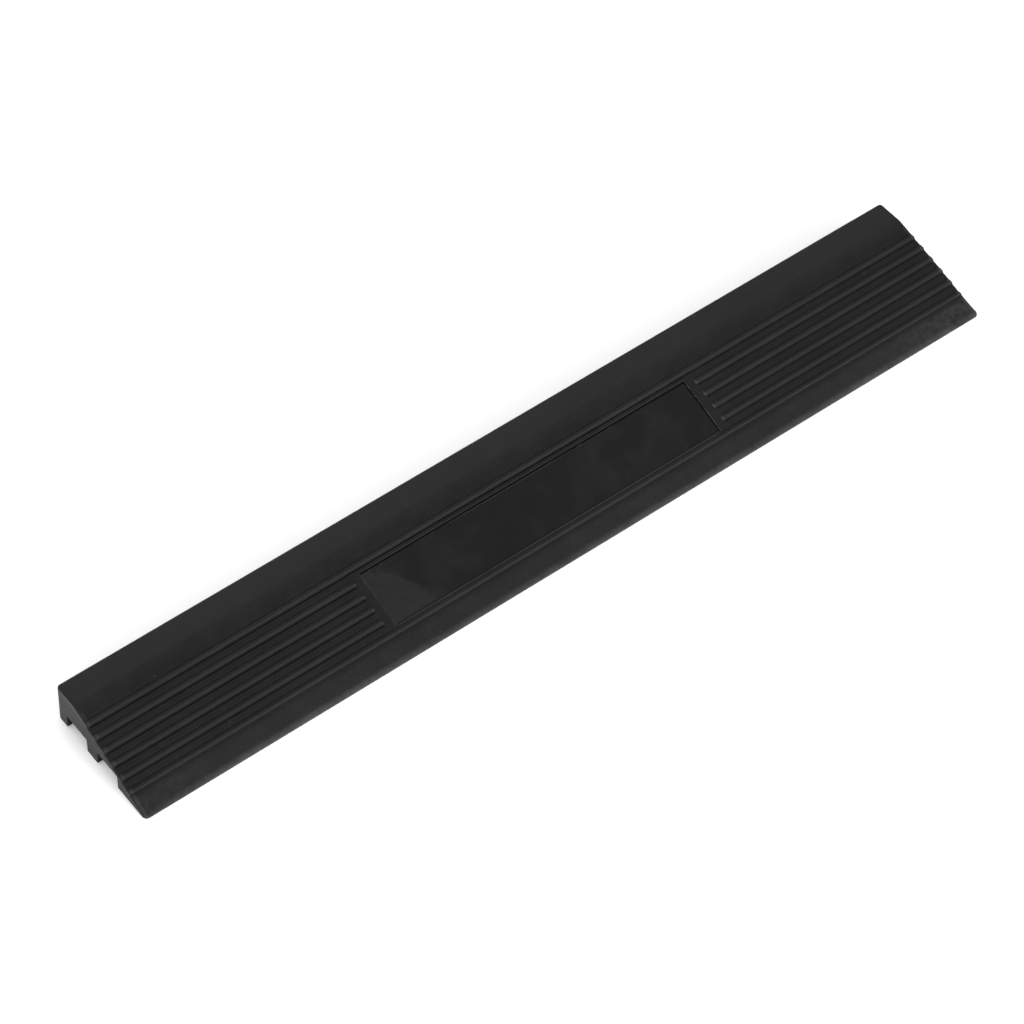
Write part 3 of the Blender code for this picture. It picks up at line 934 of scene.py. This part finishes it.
def plate_smears(n, cloudy):
    """Pale wipe marks: a large patch with a ragged, slanting edge at the left, faint ones after."""
    slant = n.run_ramp(*PATCH_SLANT_RUNS, 0.0, PATCH_SLANT)
    ragged = n.ramp(n.noise(*RAGGED_NOISE), *RAGGED_PATCH)
    along = n.plus(n.x, slant, ragged)
    streaks = n.ramp(n.noise(*STREAK_NOISE), *STREAK_SHARES)
    left_patch = n.times(n.ramp(along, *LEFT_PATCH), streaks)
    front = n.run_ramp(*FRONT_SMEAR_RUNS, kind="SMOOTHSTEP")
    front_left = n.times(front, n.ramp(along, *FRONT_SMEAR, kind="SMOOTHSTEP"))
    faint = n.times(n.ramp(cloudy, *SMEAR_PATCHES), streaks, SMEAR_STRENGTH)
    return n.most(faint, left_patch, n.times(front_left, FRONT_SMEAR_STRENGTH))


def plate_flash_and_edge_highlight(n):
    """The paler moulding edge along the back of the plate, in places, and a painted highlight along
    its left side.
    """
    back_edge = n.ramp(n.y, *BACK_FLASH)
    middle = n.band(n.x, *FLASH_MIDDLE, FLASH_MIDDLE_FADE)
    nicks = n.ramp(n.noise(*FLASH_NOISE), *FLASH_PATCHES)
    left_edge = n.ramp(n.x, *LEFT_EDGE_HIGHLIGHT)
    return n.most(n.times(back_edge, n.most(middle, nicks)), n.times(left_edge, LEFT_EDGE_HIGHLIGHT_SHARE))


def plate_material():
    n = Nodes("smooth_black_rubber")
    cloudy = n.noise(*PLATE_CLOUDS)
    fine = n.noise(*PLATE_GRAIN_NOISE)
    smears = plate_smears(n, cloudy)
    colour = n.mix(smears, DARK_RUBBER, WORN_AND_LIT_RUBBER)
    # Moulding flash at the back edge and a painted highlight along the left edge.
    colour = n.mix(n.times(plate_flash_and_edge_highlight(n), FLASH_AND_HIGHLIGHT_SHARE), colour, SCUFF_AND_HIGHLIGHT_GREY)
    specks = n.ramp(n.noise(*PLATE_SPECK_NOISE), *PLATE_SPECKS)
    colour = n.mix(n.times(specks, smears, PLATE_SPECK_STRENGTH), colour, SPECK_GREY)
    colour = n.mix(n.ramp(fine, *PLATE_GRAIN_TONE), colour, WORN_AND_LIT_RUBBER)
    roughness = n.ramp(cloudy, *PLATE_ROUGHNESS)
    return n.finish(colour, roughness, n.bump(fine, *PLATE_BUMP), PLATE_SPECULAR)


def floor_material():
    n = Nodes("pale_paper")
    n.link(n.mix(n.noise(*FLOOR_NOISE), *FLOOR_SHADES), n.shader.inputs["Base Color"])
    n.shader.inputs["Roughness"].default_value = FLOOR_ROUGHNESS
    n.shader.inputs["Specular IOR Level"].default_value = FLOOR_SPECULAR
    return n.material


def add_floor():
    size = FLOOR_HALF_SIZE
    corners = ((-size, -size), (size, -size), (size, size), (-size, size))
    mesh = bpy.data.meshes.new("floor")
    mesh.from_pydata([(x, y, FLOOR_HEIGHT) for x, y in corners], [], [(0, 1, 2, 3)])
    floor = bpy.data.objects.new("floor", mesh)
    bpy.context.scene.collection.objects.link(floor)
    floor.data.materials.append(floor_material())


def direction(azimuth, elevation):
    """Away from the ramp. Azimuth 0 is to the +Y side, 90 to the +X side."""
    a, e = math.radians(azimuth), math.radians(elevation)
    return Vector((math.sin(a) * math.cos(e), math.cos(a) * math.cos(e), math.sin(e)))


def add_softbox(name, azimuth, elevation, size, power):
    """An area light that faces the ramp."""
    away = direction(azimuth, elevation)
    lamp = bpy.data.lights.new(name, "AREA")
    lamp.shape = "RECTANGLE"
    lamp.size, lamp.size_y = size
    lamp.energy = power
    holder = bpy.data.objects.new(name, lamp)
    holder.location = away * SOFTBOX_DISTANCE
    holder.rotation_euler = away.to_track_quat("Z", "Y").to_euler()
    bpy.context.scene.collection.objects.link(holder)


def add_world(strength):
    world = bpy.data.worlds.new("studio")
    world.use_nodes = True
    background = world.node_tree.nodes["Background"]
    background.inputs["Color"].default_value = (1.0, 1.0, 1.0, 1.0)
    background.inputs["Strength"].default_value = strength
    bpy.context.scene.world = world


def add_camera():
    """A long lens from the front left, high up, held a little off level."""
    back = direction(CAMERA_AZIMUTH, CAMERA_ELEVATION)
    camera = bpy.data.cameras.new("camera")
    camera.sensor_width = CAMERA_SENSOR
    camera.lens = CAMERA_LENS
    holder = bpy.data.objects.new("camera", camera)
    holder.location = CAMERA_AIM + back * CAMERA_DISTANCE
    level = (-back).to_track_quat("-Z", "Y").to_matrix()
    roll = Matrix.Rotation(-math.radians(CAMERA_ROLL), 3, "Z")
    holder.rotation_euler = (level @ roll).to_euler()
    bpy.context.scene.collection.objects.link(holder)
    bpy.context.scene.camera = holder


body = add_body()
body.data.materials.append(body_material())
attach(body, "root")
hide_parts("ramp_body")

plate = add_plate()
plate.data.materials.append(plate_material())
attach(plate, "root")
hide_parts("inlay_plate")

add_floor()
add_world(WORLD_STRENGTH)
for softbox in SOFTBOXES:
    add_softbox(*softbox)
add_camera()
bpy.context.scene.view_settings.view_transform = "Standard"
